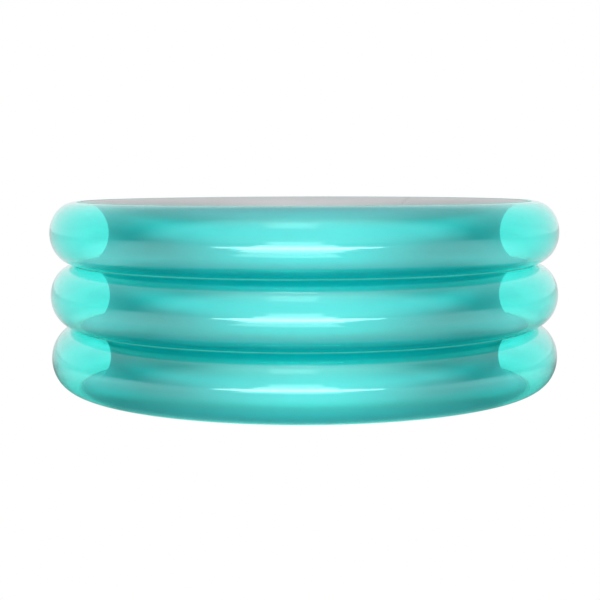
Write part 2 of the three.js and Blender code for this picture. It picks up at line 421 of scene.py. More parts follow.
def groove(middle: float, half: float, top: float, depth: float) -> list[Point]:
    """The points of a groove in an upper face, from the outside in."""
    return [(middle + half, top), (middle, top - depth), (middle - half, top)]


def swept(
    mesh: bmesh.types.BMesh,
    parts: list,
    angle: float,
    steps: int,
    centre: Place = ORIGIN,
    axis: Place = UP,
) -> None:
    """Spins parts of a mesh about an axis.

    Args:
        mesh: The mesh.
        parts: The vertices, edges and faces to spin.
        angle: How far they turn.
        steps: How many steps the turn has.
        centre: A point on the axis.
        axis: The axis.
    """
    bmesh.ops.spin(
        mesh,
        geom=parts,
        cent=centre,
        axis=axis,
        dvec=ORIGIN,
        angle=angle,
        steps=steps,
        use_merge=False,
        use_duplicate=False,
    )


def turned(points: Sequence[Point], steps: int, closed: bool = True) -> bmesh.types.BMesh:
    """Spins a profile about +Z: a short arc first, then copies of it that double it up to a full turn.

    Args:
        points: The profile, as (radius, height).
        steps: How many steps the full turn has.
        closed: True where the last point joins the first.

    Returns:
        The turned mesh, with its normals recalculated.
    """
    arcs = math.gcd(steps, MOST_ARCS)
    mesh = bmesh.new()
    swept(mesh, profile(mesh, points, closed), math.tau / arcs, steps // arcs)
    while arcs > 1:
        whole = [*mesh.verts, *mesh.edges, *mesh.faces]
        copy = bmesh.ops.duplicate(mesh, geom=whole)["geom"]
        added = [part for part in copy if isinstance(part, bmesh.types.BMVert)]
        turn = Matrix.Rotation(math.tau / arcs, 3, "Z")
        bmesh.ops.rotate(mesh, cent=ORIGIN, matrix=turn, verts=added)
        bmesh.ops.remove_doubles(mesh, verts=mesh.verts, dist=MERGE_WITHIN)
        arcs //= 2
    bmesh.ops.recalc_face_normals(mesh, faces=mesh.faces)
    return mesh


def rounded(mesh: bmesh.types.BMesh, edges: list, width: float, segments: int = 2) -> bmesh.types.BMesh:
    """Rounds some edges of a mesh.

    Args:
        mesh: The mesh.
        edges: The edges.
        width: The width of the rounding.
        segments: How many faces the rounding has across it.

    Returns:
        The mesh.
    """
    bmesh.ops.bevel(
        mesh,
        geom=edges,
        offset=width,
        offset_type="OFFSET",
        segments=segments,
        profile=0.5,
        affect="EDGES",
        clamp_overlap=True,
        material=-1,
    )
    return mesh


def softened(mesh: bmesh.types.BMesh, width: float) -> bmesh.types.BMesh:
    """Rounds the sharp edges of a closed mesh, and returns the mesh."""
    sharp = [e for e in mesh.edges if e.is_manifold and e.calc_face_angle() > SHARP_EDGE]
    return rounded(mesh, sharp, width)


def as_piece(mesh: bmesh.types.BMesh, name: str, where: Matrix | None = None) -> bpy.types.Object:
    """Makes an object at the origin from a mesh.

    Args:
        mesh: The mesh, which is freed.
        name: The piece's name.
        where: The place that goes into the mesh, or None to leave it as it is.

    Returns:
        The object, shaded smooth.
    """
    if where is not None:
        bmesh.ops.transform(mesh, matrix=where, verts=mesh.verts)
    for face in mesh.faces:
        face.smooth = True
    data = bpy.data.meshes.new(name)
    mesh.to_mesh(data)
    mesh.free()
    piece = bpy.data.objects.new(name, data)
    bpy.context.scene.collection.objects.link(piece)
    return piece


def fused(first: bmesh.types.BMesh, second: bmesh.types.BMesh) -> bmesh.types.BMesh:
    """Joins two closed meshes into one closed mesh.

    Args:
        first: One mesh, which is freed.
        second: The other mesh, which is freed.

    Returns:
        The union of the two.
    """
    base, other = as_piece(first, "fuse_base"), as_piece(second, "fuse_other")
    union = base.modifiers.new("union", "BOOLEAN")
    union.operation, union.solver, union.object = "UNION", "EXACT", other
    bpy.context.view_layer.update()
    joined = bmesh.new()
    joined.from_mesh(base.evaluated_get(bpy.context.evaluated_depsgraph_get()).to_mesh())
    for piece in (base, other):
        data = piece.data
        bpy.data.objects.remove(piece)
        bpy.data.meshes.remove(data)
    return joined


def sheet_of(
    piece: bpy.types.Object,
    thickness: float,
    offset: float = -1.0,
    back: int = 0,
) -> bpy.types.Object:
    """Gives a one-sided piece the thickness of its film.

    Args:
        piece: The piece.
        thickness: The film's thickness.
        offset: -1 to thicken it against its normals, 1 along them.
        back: How many materials further on the face that is added takes its own.

    Returns:
        The piece.
    """
    wall = piece.modifiers.new("film", "SOLIDIFY")
    wall.thickness, wall.offset, wall.use_even_offset, wall.use_rim = thickness, offset, True, True
    wall.material_offset = back
    return piece


def eased(value: float, low: float, high: float) -> float:
    """Rises smoothly from 0 at low to 1 at high."""
    share = min(max((value - low) / (high - low), 0.0), 1.0)
    return share * share * (3.0 - 2.0 * share)


def refined(mesh: bmesh.types.BMesh, centre: Vector, reach: float, cuts: int) -> None:
    """Cuts the faces near a point into smaller ones.

    Args:
        mesh: The mesh.
        centre: The point.
        reach: How far from the point a face's middle may be.
        cuts: How many cuts go into each edge.
    """
    near = [f for f in mesh.faces if (f.calc_center_median() - centre).length < reach]
    edges = list({edge for face in near for edge in face.edges})
    bmesh.ops.subdivide_edges(mesh, edges=edges, cuts=cuts, use_grid_fill=True)


def pierced(mesh: bmesh.types.BMesh, place: Matrix, flat: float, radius: float) -> None:
    """Cuts a round hole through the flat part of a sheet.

    Args:
        mesh: The sheet, which has no thickness yet.
        place: The hole's place, with +Z square to the sheet.
        flat: How far from the hole's middle the sheet is flat.
        radius: The hole's radius.
    """
    back = place.inverted()
    slightly_more = 1.001

    def within(face: bmesh.types.BMFace, limit: float) -> bool:
        """Whether a face's corners all lie within limit of the hole's middle, and close to its plane."""
        local = [back @ v.co for v in face.verts]
        return all(math.hypot(p.x, p.y) < limit and abs(p.z) < flat for p in local)

    faces = [f for f in mesh.faces if within(f, flat)]
    parts: list = list({part for face in faces for part in (*face.verts, *face.edges)})
    parts += faces
    for side in range(HOLE_SIDES):
        turn = Matrix.Rotation(math.tau * side / HOLE_SIDES, 4, "Z")
        outward = (place.to_3x3() @ (turn @ Vector((1, 0, 0)))).normalized()
        parts = bmesh.ops.bisect_plane(
            mesh,
            geom=parts,
            dist=CUT_WITHIN,
            plane_co=place @ (turn @ Vector((radius, 0, 0))),
            plane_no=outward,
        )["geom"]
    corner = radius / math.cos(math.pi / HOLE_SIDES) * slightly_more
    cut = [part for part in parts if isinstance(part, bmesh.types.BMFace) and within(part, corner)]
    bmesh.ops.delete(mesh, geom=cut, context="FACES")


@dataclass(frozen=True)
class FilmHole:
    """A valve's hole in a film, the flat round it, and how far out the film is drawn in towards that."""

    radius: float
    flat: float
    reach: float


@dataclass
class Rings:
    """The air rings: each an outer and an inner film between flat lips, and the welds that join them.

    The weld's rounding is a share of its thickness, and rib_half of the ribs' pitch. The waves set how fine
    a film's slack and puckers are, and the steps keep one ring's from repeating in the next. refined_past
    and drawn_past are how many times a hole's reach the film is refined and redrawn round it.
    """

    finishes: Finishes
    names: tuple[str, ...] = ("bottom", "middle", "top")
    outer_radius: float = 760.0 * MM
    ring_width: float = 172.4 * MM
    lip_reach: float = 10.0 * MM
    film: float = 0.3 * MM
    seam_gap: float = 0.3 * MM
    weld_gap: float = 0.04 * MM
    weld_rounding: float = 0.3
    band_ribs: int = 6
    crown_ribs: int = 2
    rib_half: float = 0.22
    lap_width: float = 9.0 * MM
    lap_lift: float = 0.05 * MM
    lap_steps: int = 3
    outer_lap: float = math.radians(52.0)
    inner_lap: float = math.radians(56.0)
    outer_slack: float = 0.45 * MM
    inner_slack: float = 0.5 * MM
    slack_full: float = 40.0 * MM
    slack_waves: float = 2.2
    slack_step: float = 7.0
    pucker_depth: float = 0.5 * MM
    pucker_full: float = 5.0 * MM
    pucker_fade: Span = (8.0 * MM, 35.0 * MM)
    pucker_waves: float = 34.0
    pucker_step: float = 5.0
    rising_waves: float = 3.0
    refined_past: float = 1.4
    drawn_past: float = 2.0
    steps_round: int = 512
    steps_over: int = 44
    places: list[tuple[float, float]] = field(default_factory=list)

    def __post_init__(self) -> None:
        """Takes each ring's lowest and highest level from the frame."""
        self.seam_radius = self.outer_radius - self.ring_width / 2
        self.belly = self.ring_width / 2 - self.lip_reach
        for name in self.names:
            low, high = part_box("outer_wall_" + name)
            self.places.append((low.z, high.z))

    def section(self, side: Side, index: int) -> list[Point]:
        """A film's section from its lower lip to its upper lip.

        Args:
            side: Which film of the ring.
            index: The ring, counted from the lowest.

        Returns:
            The points, as (radius, height).
        """
        low, high = self.places[index]
        middle, up = (low + high) / 2, (high - low) / 2
        points = [(self.seam_gap / 2, -up), (self.lip_reach / 2, -up)]
        for step in range(self.steps_over + 1):
            angle = math.pi * (step / self.steps_over - 0.5)
            points.append((self.lip_reach + self.belly * math.cos(angle), up * math.sin(angle)))
        points += [(self.lip_reach / 2, up), (self.seam_gap / 2, up)]
        return [(self.seam_radius + side.value * out, middle + rise) for out, rise in points]

    def on_section(self, side: Side, index: int, point: Vector) -> Vector:
        """Draws a point that lies near a film's belly onto it.

        Args:
            side: Which film of the ring.
            index: The ring, counted from the lowest.
            point: The point.

        Returns:
            The point moved straight away from the belly's middle, or the same point at the lips.
        """
        low, high = self.places[index]
        middle, up = (low + high) / 2, (high - low) / 2
        radius = math.hypot(point.x, point.y)
        out = side.value * (radius - self.seam_radius) - self.lip_reach
        if out <= 0:
            return point
        scale = 1.0 / math.hypot(out / self.belly, (point.z - middle) / up)
        reach = (self.seam_radius + side.value * (self.lip_reach + out * scale)) / radius
        return Vector((point.x * reach, point.y * reach, middle + (point.z - middle) * scale))

    def from_lip(self, index: int, point: Vector) -> float:
        """How far a point's level is from the nearer lip of its ring."""
        low, high = self.places[index]
        return min(point.z - low, high - point.z)

    def wave(self, point: Vector, waves: float, shift: float) -> float:
        """Noise between -1 and 1 at a point of a film, by its direction from the axis and its level."""
        away = Vector((point.x, point.y)).normalized()
        return noise.noise(Vector((away.x * waves, away.y * waves, point.z * self.rising_waves + shift)))

    def slack(self, side: Side, index: int, point: Vector) -> float:
        """How far a film stands off its even section at a point.

        The outer film itself keeps to its section, and only the lap seam on it waves.

        Args:
            side: Which film of the ring.
            index: The ring, counted from the lowest.
            point: A point of the even section.

        Returns:
            The distance outwards from the ring's air.
        """
        rise = self.from_lip(index, point)
        slow = self.wave(point, self.slack_waves, index * self.slack_step)
        slow *= eased(rise, 0.0, self.slack_full)
        if side is Side.OUTER:
            return self.outer_slack * slow
        pucker = self.wave(point, self.pucker_waves, index * self.pucker_step)
        near = eased(rise, 0.0, self.pucker_full) * (1.0 - eased(rise, *self.pucker_fade))
        return self.pucker_depth * pucker * near + self.inner_slack * slow

    def face_out(self, mesh: bmesh.types.BMesh, index: int) -> None:
        """Recalculates a film's normals, and points them away from the ring's air.

        Args:
            mesh: The film.
            index: The ring, counted from the lowest.
        """
        bmesh.ops.recalc_face_normals(mesh, faces=mesh.faces)
        low, high = self.places[index]
        tally = 0.0
        for face in mesh.faces:
            middle = face.calc_center_median()
            hub = Vector((middle.x, middle.y, 0)).normalized() * self.seam_radius
            hub.z = (low + high) / 2
            tally += face.normal.dot(middle - hub)
        if tally < 0:
            bmesh.ops.reverse_faces(mesh, faces=mesh.faces)
        mesh.normal_update()

    def shaped(self, mesh: bmesh.types.BMesh, side: Side, index: int, lift: float = 0.0) -> None:
        """Moves every vertex of a film off its even section by its slack.

        Args:
            mesh: The film, or the lap seam on it.
            side: Which film of the ring.
            index: The ring, counted from the lowest.
            lift: How much further every vertex moves.
        """
        mesh.normal_update()
        shifts = [(v, v.normal * (self.slack(side, index, v.co) + lift)) for v in mesh.verts]
        for vertex, shift in shifts:
            vertex.co += shift

    def open_at(self, mesh: bmesh.types.BMesh, index: int, seat: Matrix, hole: FilmHole) -> None:
        """Draws an outer film flat where its valve sits, and cuts the valve's hole.

        Args:
            mesh: The film.
            index: The ring, counted from the lowest.
            seat: Where the ring's valve sits.
            hole: The sizes of the flat and the hole.
        """
        centre = seat.translation
        refined(mesh, centre, hole.reach * self.refined_past, 2)
        refined(mesh, centre, hole.reach, 1)
        back = seat.inverted()
        for vertex in mesh.verts:
            if (vertex.co - centre).length < hole.reach * self.drawn_past:
                vertex.co = self.on_section(Side.OUTER, index, vertex.co)
                local = back @ vertex.co
                away = eased(math.hypot(local.x, local.y), hole.flat, hole.reach)
                vertex.co = seat @ Vector((local.x, local.y, local.z * away))
        mesh.normal_update()
        pierced(mesh, seat, hole.flat, hole.radius)

    def make_film(self, side: Side, index: int, seat: Matrix, hole: FilmHole) -> bpy.types.Object:
        """Makes one film of a ring.

        Args:
            side: Which film of the ring. Only the outer one is opened for the valve.
            index: The ring, counted from the lowest.
            seat: Where the ring's valve sits.
            hole: The sizes of the flat and the hole at the valve.

        Returns:
            The film's piece.
        """
        mesh = turned(self.section(side, index), self.steps_round, closed=False)
        self.face_out(mesh, index)
        ring = self.names[index]
        if side is Side.OUTER:
            self.open_at(mesh, index, seat, hole)
        else:
            self.shaped(mesh, side, index)
        self.face_out(mesh, index)
        if side is Side.OUTER:
            piece = sheet_of(as_piece(mesh, "outer_film_" + ring), self.film)
            self.finishes.dress(piece, self.finishes.clear)
        else:
            piece = sheet_of(as_piece(mesh, "inner_film_" + ring), self.film, back=1)
            self.finishes.dress(piece, self.finishes.backing, self.finishes.silver)
        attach(piece, "pool")
        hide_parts(("outer_wall_" if side is Side.OUTER else "inner_wall_") + ring)
        return piece

    def make_weld(self, name: str, node: str, ribs: int) -> bpy.types.Object:
        """Makes a flat weld between lips, with fine ribs pressed into its upper face.

        Args:
            name: The piece's name.
            node: The frame's node that it replaces.
            ribs: How many ribs run round it.

        Returns:
            The weld's piece.
        """
        low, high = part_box(node)
        reach = high.y - self.seam_radius
        inner, outer = self.seam_radius - reach, high.y
        base, top = low.z + self.weld_gap, high.z - self.weld_gap
        edge = (top - base) * self.weld_rounding
        points = [(inner + edge, base), (outer - edge, base), (outer, base + edge)]
        points += [(outer, top - edge), (outer - edge, top)]
        pitch = (outer - inner) / ribs
        for rib in range(ribs):
            points += groove(outer - pitch * (rib + 0.5), pitch * self.rib_half, top, edge)
        points += [(inner + edge, top), (inner, top - edge), (inner, base + edge)]
        piece = as_piece(turned(points, self.steps_round // 2), name)
        self.finishes.dress(piece, self.finishes.weld)
        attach(piece, "pool")
        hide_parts(node)
        return piece

    def make_lap(self, side: Side, index: int, azimuth: float) -> bpy.types.Object:
        """Makes the lap seam that closes a film's band into a ring.

        Args:
            side: Which film of the ring.
            index: The ring, counted from the lowest.
            azimuth: The seam's place round +Z, from +X, in radians.

        Returns:
            The seam's piece, a strip that lies on the film between its lips.
        """
        mesh = bmesh.new()
        belly = self.section(side, index)[3:-3]
        swept(mesh, profile(mesh, belly), self.lap_width / self.seam_radius, self.lap_steps)
        bmesh.ops.rotate(mesh, cent=ORIGIN, matrix=Matrix.Rotation(azimuth, 3, "Z"), verts=mesh.verts)
        self.face_out(mesh, index)
        self.shaped(mesh, side, index, self.lap_lift)
        word = "outer_lap_" if side is Side.OUTER else "inner_lap_"
        piece = sheet_of(as_piece(mesh, word + self.names[index]), self.film, offset=1.0)
        self.finishes.dress(piece, self.finishes.clear if side is Side.OUTER else self.finishes.backing)
        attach(piece, "pool")
        return piece

    def make(self, seats: Sequence[Matrix], hole: FilmHole) -> list[bpy.types.Object]:
        """Makes every ring, weld and lap seam.

        Args:
            seats: Where each ring's valve sits.
            hole: The sizes of the flat and the hole at a valve.

        Returns:
            The pieces.
        """
        pieces = []
        for index, seat in enumerate(seats):
            pieces.append(self.make_film(Side.OUTER, index, seat, hole))
            pieces.append(self.make_film(Side.INNER, index, seat, hole))
            pieces.append(self.make_lap(Side.OUTER, index, self.outer_lap))
            pieces.append(self.make_lap(Side.INNER, index, self.inner_lap))
        pieces.append(self.make_weld("weld_band_lower", "ring_weld_lower", self.band_ribs))
        pieces.append(self.make_weld("weld_band_upper", "ring_weld_upper", self.band_ribs))
        pieces.append(self.make_weld("crown_seam", "crown_weld", self.crown_ribs))
        return pieces


@dataclass(frozen=True)
class Stopper:
    """A push-in stopper with a pull tab, and the strap loop that keeps it at its seat.

    Heights run along its axis. The taper is a share of the shank's radius, the bead of the head's height,
    the dish of the head's radius, at its top and at its bottom, and the corner of the tab's smaller side.
    """

    shank_radius: float
    shank_end: float
    head_radius: float
    head_low: float
    head_high: float
    tab_width: float
    tab_thickness: float
    tab_height: float
    strap_start: float
    strap_reach: float
    strap_low: float
    strap_high: float
    strap_width: float
    strap_thickness: float
    rounding: float
    taper_share: float = 0.16
    bead_share: float = 0.3
    dish_shares: Span = (0.72, 0.68)
    corner_share: float = 0.4
    corner_segments: int = 6
    strap_rounding_share: float = 0.4
    steps_round: int = 64
    strap_steps: int = 16

    def head(self) -> bmesh.types.BMesh:
        """Makes the shank and the dished head.

        Returns:
            The closed mesh.
        """
        taper = self.shank_radius * self.taper_share
        bead = (self.head_high - self.head_low) * self.bead_share
        dish_top, dish_bottom = self.dish_shares
        points = [
            (0.0, self.shank_end),
            (self.shank_radius - taper, self.shank_end),
            (self.shank_radius, self.shank_end + 2 * taper),
            (self.shank_radius, self.head_low),
            (self.head_radius, self.head_low),
            (self.head_radius, self.head_high - bead),
            (self.head_radius - bead, self.head_high),
            (self.head_radius * dish_top, self.head_high),
            (self.head_radius * dish_bottom, self.head_high - bead),
            (0.0, self.head_high - bead),
        ]
        return softened(turned(points, self.steps_round, closed=False), self.rounding)

    def tab(self) -> bmesh.types.BMesh:
        """Makes the pull tab, which starts inside the head.

        Returns:
            The closed mesh.
        """
        sunk = self.head_high - 2 * (self.head_high - self.head_low) * self.bead_share
        top = self.head_high + self.tab_height
        mesh = bmesh.new()
        bmesh.ops.create_cube(mesh, size=1.0)
        bmesh.ops.scale(mesh, vec=(self.tab_width, self.tab_thickness, top - sunk), verts=mesh.verts)
        bmesh.ops.translate(mesh, vec=(0, 0, (sunk + top) / 2), verts=mesh.verts)
        upper = [e for e in mesh.edges if all(v.co.z > top - SAME_PLACE for v in e.verts)]
        shoulders = [e for e in upper if abs(e.verts[0].co.x - e.verts[1].co.x) < SAME_PLACE]
        corner = min(self.tab_width, self.tab_height) * self.corner_share
        return softened(rounded(mesh, shoulders, corner, self.corner_segments), self.rounding)

    def body(self) -> bmesh.types.BMesh:
        """Makes the shank, the head and the pull tab as one closed mesh."""
        return fused(self.head(), self.tab())

    def strap(self) -> bmesh.types.BMesh:
        """Makes the strap: out from the seat, round half a loop, and back to the head.

        Returns:
            The closed mesh.
        """
        bend = (self.strap_high - self.strap_low) / 2
        far = self.strap_start + self.strap_reach - bend - self.strap_thickness / 2
        mesh = bmesh.new()
        bmesh.ops.create_grid(mesh, x_segments=1, y_segments=1, size=0.5)
        bmesh.ops.scale(mesh, vec=(self.strap_width, self.strap_thickness, 1.0), verts=mesh.verts)
        bmesh.ops.rotate(mesh, cent=ORIGIN, matrix=Matrix.Rotation(math.pi / 2, 3, "X"), verts=mesh.verts)
        bmesh.ops.translate(mesh, vec=(0, self.strap_start, self.strap_low), verts=mesh.verts)
        self.push(mesh, far - self.strap_start)
        end = self.last_face(mesh, far)
        parts = [end, *end.verts, *end.edges]
        middle = (0, far, self.strap_low + bend)
        swept(mesh, parts, math.pi, self.strap_steps, centre=middle, axis=(1, 0, 0))
        self.push(mesh, self.strap_start - far, self.last_face(mesh, far))
        inner = [f for f in mesh.faces if all(len(e.link_faces) > 2 for e in f.edges)]
        bmesh.ops.delete(mesh, geom=inner, context="FACES_ONLY")
        bmesh.ops.recalc_face_normals(mesh, faces=mesh.faces)
        return softened(mesh, self.rounding * self.strap_rounding_share)

    def strap_ends(self, place: Matrix) -> tuple[Vector, Vector]:
        """Where the strap leaves its seat, and where it meets the head, with the stopper at a place."""
        start = place @ Vector((0, self.strap_start, self.strap_low))
        return start, place @ Vector((0, self.strap_start, self.strap_high))

    @staticmethod
    def last_face(mesh: bmesh.types.BMesh, far: float) -> bmesh.types.BMFace:
        """The highest face whose corners all stand at far."""
        ends = [f for f in mesh.faces if all(abs(v.co.y - far) < SAME_PLACE for v in f.verts)]
        return max(ends, key=lambda face: face.calc_center_median().z)

    @staticmethod
    def push(mesh: bmesh.types.BMesh, length: float, face: bmesh.types.BMFace | None = None) -> None:
        """Draws a face out along +Y.

        Args:
            mesh: The mesh.
            length: How far the face goes.
            face: The face, or None for the mesh's only face, which then also stays as the end cap.
        """
        start = face or next(iter(mesh.faces))
        drawn = bmesh.ops.extrude_face_region(mesh, geom=[start], use_keep_orig=face is None)
        corners = [part for part in drawn["geom"] if isinstance(part, bmesh.types.BMVert)]
        bmesh.ops.translate(mesh, vec=(0, length, 0), verts=corners)


def ring_piece(points: Sequence[Point], name: str, place: Matrix, rounding: float) -> bpy.types.Object:
    """Makes a turned piece with softened edges.

    Args:
        points: The closed profile, as (radius, height along the axis).
        name: The piece's name.
        place: Where the axis stands.
        rounding: The width of the rounding on its edges.

    Returns:
        The piece.
    """
    return as_piece(softened(turned(points, PIECE_STEPS), rounding), name, place)


@dataclass
class AirValve:
    """A ring's push-in air valve: base, stem, check flap, stopper and strap. Heights run along its axis."""

    finishes: Finishes
    rings: Rings
    angle: float = math.radians(34.0)
    step_round: float = math.radians(10.0)
    flat_half: float = 15.8 * MM
    film_hole: FilmHole = FilmHole(radius=11.5 * MM, flat=16.5 * MM, reach=34.0 * MM)
    bore: float = 4.0 * MM
    stem: float = 6.5 * MM
    stem_end: float = -20.1 * MM
    rim: float = 8.1 * MM
    rim_low: float = -0.3 * MM
    rim_high: float = 1.1 * MM
    collar: float = 8.5 * MM
    collar_low: float = -15.1 * MM
    collar_high: float = -13.9 * MM
    stem_rounding: float = 0.25 * MM
    well: float = 9.0 * MM
    well_wall: float = 1.2 * MM
    well_end: float = -17.6 * MM
    flange: float = 15.5 * MM
    flange_low: float = -1.6 * MM
    flange_high: float = -0.6 * MM
    groove_inset: float = 1.6 * MM
    groove_half: float = 0.4 * MM
    groove_depth: float = 0.2 * MM
    base_rounding: float = 0.15 * MM
    slide_gap: float = 0.5 * MM
    flap: float = 5.6 * MM
    flap_low: float = -21.2 * MM
    flap_high: float = -20.4 * MM
    flap_rounding: float = 0.2 * MM
    flap_steps: int = 48
    stopper: Stopper = Stopper(
        shank_radius=3.7 * MM,
        shank_end=-6.6 * MM,
        head_radius=8.1 * MM,
        head_low=1.4 * MM,
        head_high=2.9 * MM,
        tab_width=7.0 * MM,
        tab_thickness=1.6 * MM,
        tab_height=3.0 * MM,
        strap_start=8.4 * MM,
        strap_reach=5.0 * MM,
        strap_low=0.8 * MM,
        strap_high=2.6 * MM,
        strap_width=3.0 * MM,
        strap_thickness=0.6 * MM,
        rounding=0.25 * MM,
    )

    def seat(self, index: int) -> Matrix:
        """Where a ring's valve sits: +Z square to the wall, +Y down along it.

        Args:
            index: The ring, counted from the lowest.

        Returns:
            The place of the wall's outer face at the valve's middle.
        """
        low, high = self.rings.places[index]
        middle, up, out = (low + high) / 2, (high - low) / 2, self.rings.belly
        lean = Vector((out * math.sin(self.angle), up * math.cos(self.angle)))
        chord = math.cos(math.asin(self.flat_half / lean.length))
        reach = self.rings.seam_radius + self.rings.lip_reach + out * math.cos(self.angle) * chord
        level = middle + up * math.sin(self.angle) * chord
        tilt = Matrix.Rotation(math.atan2(lean.x, lean.y) - math.pi / 2, 4, "X")
        turn = Matrix.Rotation((1 - index) * self.step_round, 4, "Z")
        return turn @ Matrix.Translation((0, reach, level)) @ tilt

    def base_section(self) -> list[Point]:
        """The base's section: a grooved flange, and the well that the stem slides in."""
        inner, well_outside = self.stem + self.slide_gap, self.well + self.well_wall
        return [
            (inner, self.flange_low),
            (self.well, self.flange_low),
            (self.well, self.well_end),
            (well_outside, self.well_end),
            (well_outside, self.flange_low),
            (self.flange, self.flange_low),
            (self.flange, self.flange_high),
            *groove(self.flange - self.groove_inset, self.groove_half, self.flange_high, self.groove_depth),
            (inner, self.flange_high),
        ]

    def stem_section(self) -> list[Point]:
        """The stem's section: a tube with a rim outside, and a collar in the well."""
        return [
            (self.bore, self.stem_end),
            (self.stem, self.stem_end),
            (self.stem, self.collar_low),
            (self.collar, self.collar_low),
            (self.collar, self.collar_high),
            (self.stem, self.collar_high),
            (self.stem, self.rim_low),
            (self.rim, self.rim_low),
            (self.rim, self.rim_high),
            (self.bore, self.rim_high),
        ]

    def flap_section(self) -> list[Point]:
        """The check flap's section: a plain disc."""
        return [
            (0.0, self.flap_low),
            (self.flap, self.flap_low),
            (self.flap, self.flap_high),
            (0.0, self.flap_high),
        ]

    def put(self, piece: bpy.types.Object, finish: Vinyl, body: str, node: str) -> None:
        """Dresses a piece, and sets it on its body in place of its node.

        Args:
            piece: The piece.
            finish: Its finish.
            body: The body that it moves with.
            node: The frame's node that it replaces.
        """
        self.finishes.dress(piece, finish)
        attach(piece, body)
        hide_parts(node)

    def make(self, index: int) -> list[bpy.types.Object]:
        """Makes one ring's valve.

        Args:
            index: The ring, counted from the lowest.

        Returns:
            The valve's pieces.
        """
        ring, place = self.rings.names[index], self.seat(index)
        base = ring_piece(self.base_section(), "valve_flange_" + ring, place, self.base_rounding)
        stem = ring_piece(self.stem_section(), "valve_tube_" + ring, place, self.stem_rounding)
        disc = softened(turned(self.flap_section(), self.flap_steps, closed=False), self.flap_rounding)
        flap = as_piece(disc, "valve_check_" + ring, place)
        plug = as_piece(self.stopper.body(), "stopper_" + ring, place)
        strap = as_piece(self.stopper.strap(), "stopper_strap_" + ring, place)
        self.put(base, self.finishes.valve, "pool", "valve_base_" + ring)
        self.put(stem, self.finishes.valve, "stem_" + ring, "valve_stem_" + ring)
        self.put(flap, self.finishes.valve, "flap_" + ring, "valve_flap_" + ring)
        self.put(plug, self.finishes.plug, "plug_" + ring, "valve_plug_" + ring)
        self.finishes.dress(strap, self.finishes.plug)
        start, end = self.stopper.strap_ends(place)
        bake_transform(strap)
        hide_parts("plug_strap_" + ring)
        return [base, stem, flap, plug, strap]


